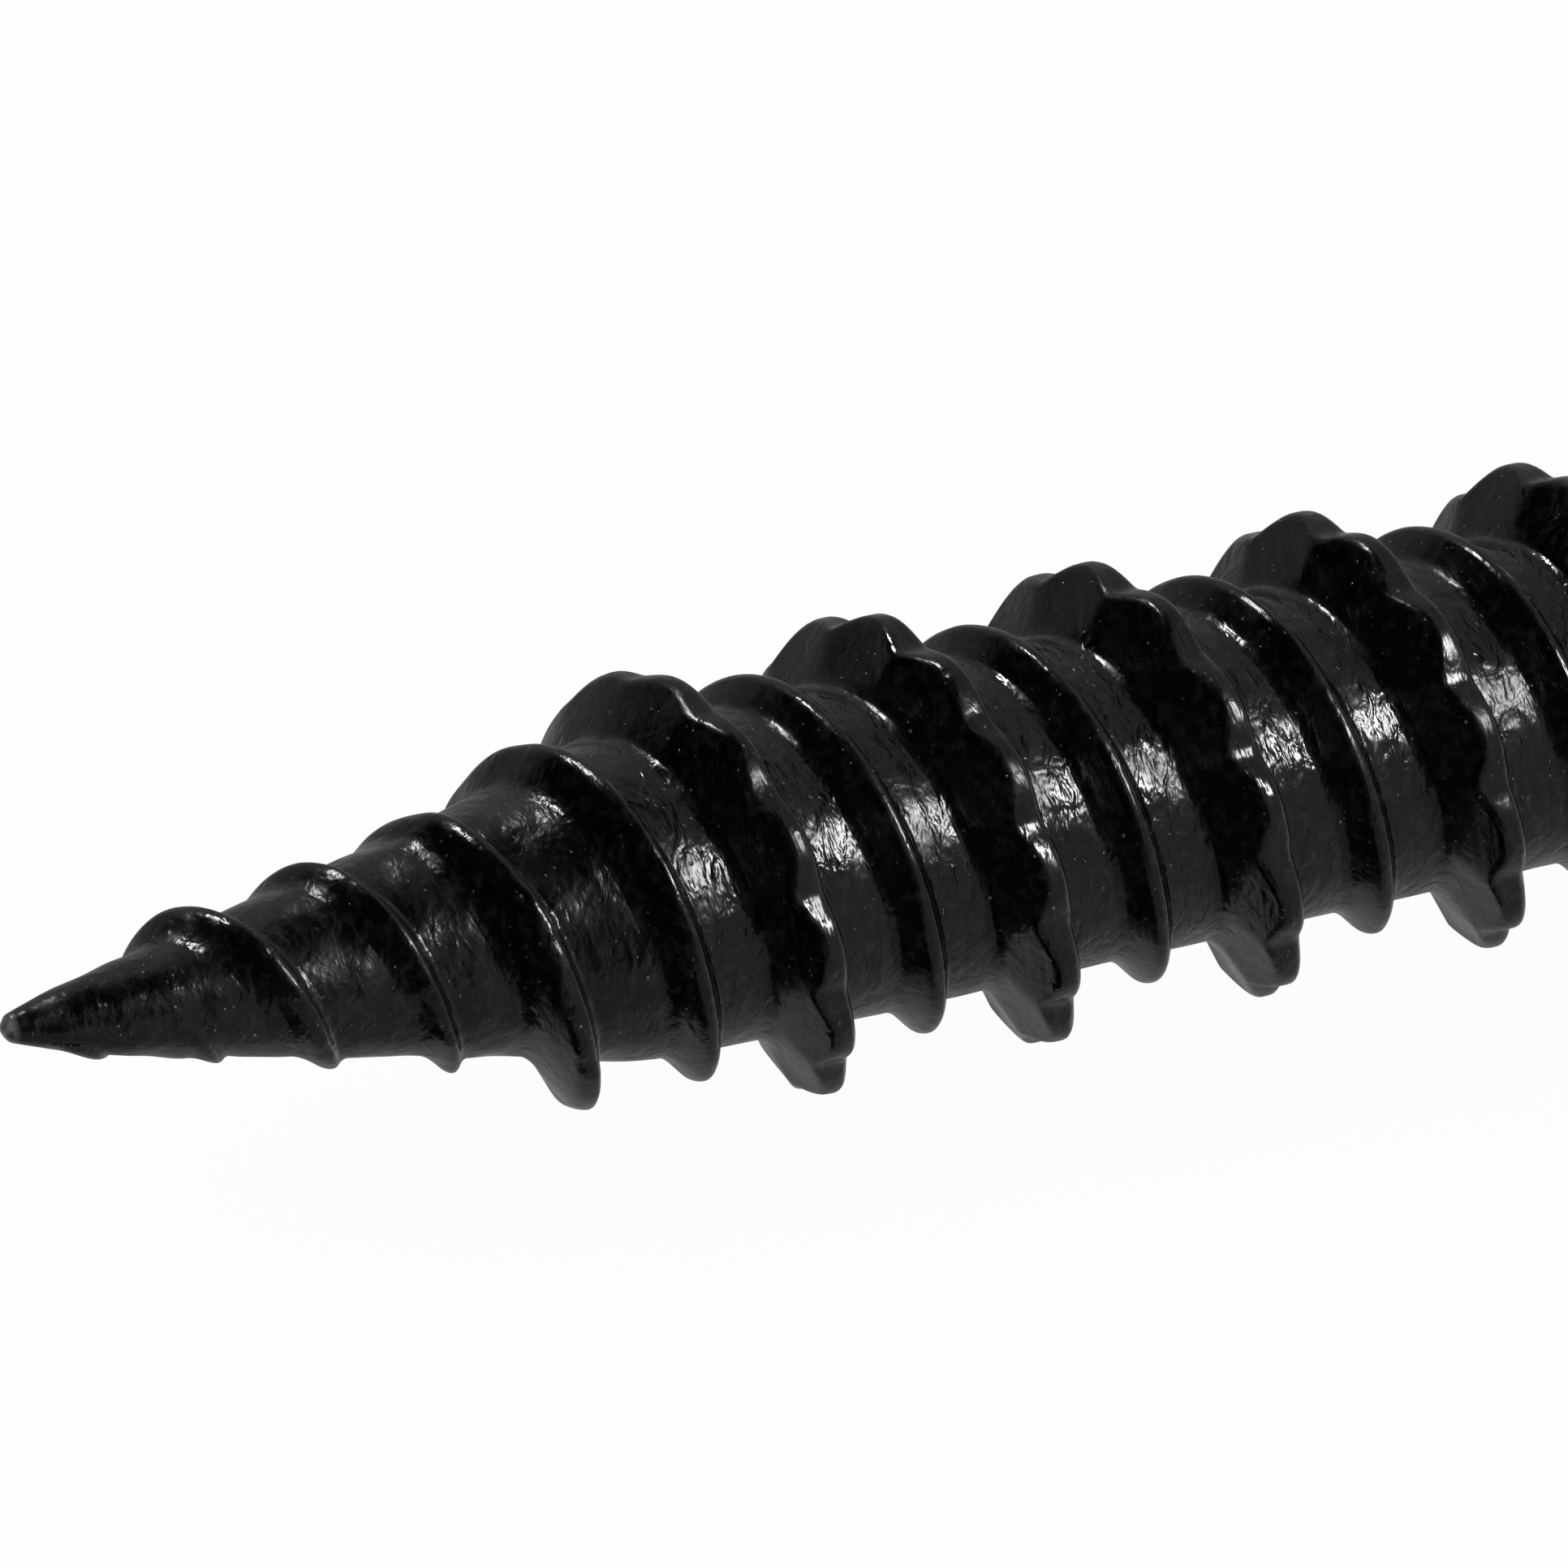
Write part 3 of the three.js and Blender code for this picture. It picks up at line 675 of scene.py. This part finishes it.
def zone(centre, rim, middle, level):
    """1 over most of the surround, changing to a level round a direction: 0 for a black card, over 1 for a
    glow. rim and middle are the cosines of the angles from the centre where the change begins and ends."""
    facing = sky.nodes.new("ShaderNodeVectorMath")
    facing.operation = "DOT_PRODUCT"
    facing.inputs[1].default_value = Vector(centre).normalized()
    sky.links.new(direction.outputs["Generated"], facing.inputs[0])
    change = sky.nodes.new("ShaderNodeMapRange")
    change.interpolation_type = "SMOOTHSTEP"
    for socket, number in zip(("From Min", "From Max", "To Min", "To Max"), (rim, middle, 1, level)):
        change.inputs[socket].default_value = number
    sky.links.new(facing.outputs["Value"], change.inputs["Value"])
    return change.outputs["Result"]


strength = zone((-0.97, -0.15, 0), 0.6, 0.74, 0)
for other in (
    zone((-0.68, -0.17, 0.75), 0.42, 0.76, 0),
    zone((-0.55, -0.1, -0.83), 0.9, 0.97, 0),
    zone((-0.5, -0.85, 0), 0.84, 0.92, 0.1),
    zone((-0.3, -0.5, -0.85), 0.78, 0.93, 0.7),
    zone((-0.5, 0.85, 0.1), 0.75, 0.93, 0.6),
    zone((-0.4, 0.4, -0.82), 0.84, 0.97, 1.15),
    zone((0.97, 0.1, -0.2), 0.7, 0.93, 2.2),
):
    both = sky.nodes.new("ShaderNodeMath")
    both.operation = "MULTIPLY"
    sky.links.new(strength, both.inputs[0])
    sky.links.new(other, both.inputs[1])
    strength = both.outputs["Value"]
sky.links.new(strength, sky.nodes["Background"].inputs["Strength"])
sky.nodes["Background"].inputs["Color"].default_value = (0.325, 0.325, 0.345, 1)
scene.world = world
scene.view_settings.view_transform = "Standard"

thread_end = bpy.data.collections.new("threaded_end")
head_end = bpy.data.collections.new("head_end")
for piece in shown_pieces():
    middle = sum(corner[0] for corner in piece.bound_box) / 8 / MM
    group = head_end if middle > SHANK_LOW.x else thread_end
    group.objects.link(piece)


def soft_box(name, receivers, aim, direction, distance, width, length, radiance):
    """A rectangle of even light that shows on one end of the screw only."""
    light = bpy.data.lights.new(name, "AREA")
    light.shape = "RECTANGLE"
    light.size = width
    light.size_y = length
    light.energy = radiance * math.pi * width * length
    lamp = bpy.data.objects.new(name, light)
    toward = Vector(direction).normalized()
    lamp.location = Vector((aim * MM, 0, 0)) + toward * distance
    lamp.rotation_euler = toward.to_track_quat("Z", "Y").to_euler()
    lamp.light_linking.receiver_collection = receivers
    scene.collection.objects.link(lamp)


THREAD_LIT_AT = 12  # the threaded end's soft boxes aim at this place
thread_aim = TIP_X + THREAD_LIT_AT
soft_box("front_box", thread_end, thread_aim, (0.39, -0.74, 0.55), 0.6, 0.11, 0.24, 30)
soft_box("overhead_strip", thread_end, thread_aim, (-0.25, 0.44, 0.86), 0.6, 0.1, 0.08, 58)
head_aim = (SHANK_LOW.x + HEAD_HIGH.x) / 2
soft_box("shank_box_front", head_end, head_aim, (0.1, -0.75, 0.65), 0.6, 0.6, 0.08, 22)
soft_box("shank_box_behind", head_end, head_aim, (0.1, 0.75, 0.65), 0.6, 0.6, 0.08, 22)
soft_box("shank_box_point_side", head_end, head_aim, (-0.85, 0.15, 0.5), 0.6, 0.1, 0.4, 16)
soft_box("face_box", head_end, head_aim, (0.8, 0.1, 0.6), 0.6, 0.3, 0.2, 8)

# ---------------------------------------------------------------------------
# Camera: a long lens close to the threaded end, from the front, the point's side and above.

AZIMUTH, ELEVATION = math.radians(-26), math.radians(26.9)
PICTURE_WIDTH = 21.09 * MM  # width of the picture at the sighted place
SIGHTED = 12  # the lens looks past this place on the axis, by so much to the right and up
SIGHT_RIGHT, SIGHT_UP = -0.327 * MM, 1.01 * MM
LENS, SENSOR = 1500, 36
camera_data = bpy.data.cameras.new("camera")
camera_data.lens = LENS
camera_data.sensor_width = SENSOR
camera = bpy.data.objects.new("camera", camera_data)
back = Vector(
    (
        math.sin(AZIMUTH) * math.cos(ELEVATION),
        -math.cos(AZIMUTH) * math.cos(ELEVATION),
        math.sin(ELEVATION),
    )
)
right = Vector((math.cos(AZIMUTH), math.sin(AZIMUTH), 0))
up = back.cross(right)
sighted = Vector((TIP_X + SIGHTED, 0, 0)) * MM + right * SIGHT_RIGHT + up * SIGHT_UP
camera.location = sighted + back * (PICTURE_WIDTH * LENS / SENSOR)
camera.rotation_euler = back.to_track_quat("Z", "Y").to_euler()
camera_data.clip_start = 0.01
camera_data.clip_end = 100
scene.collection.objects.link(camera)
scene.camera = camera
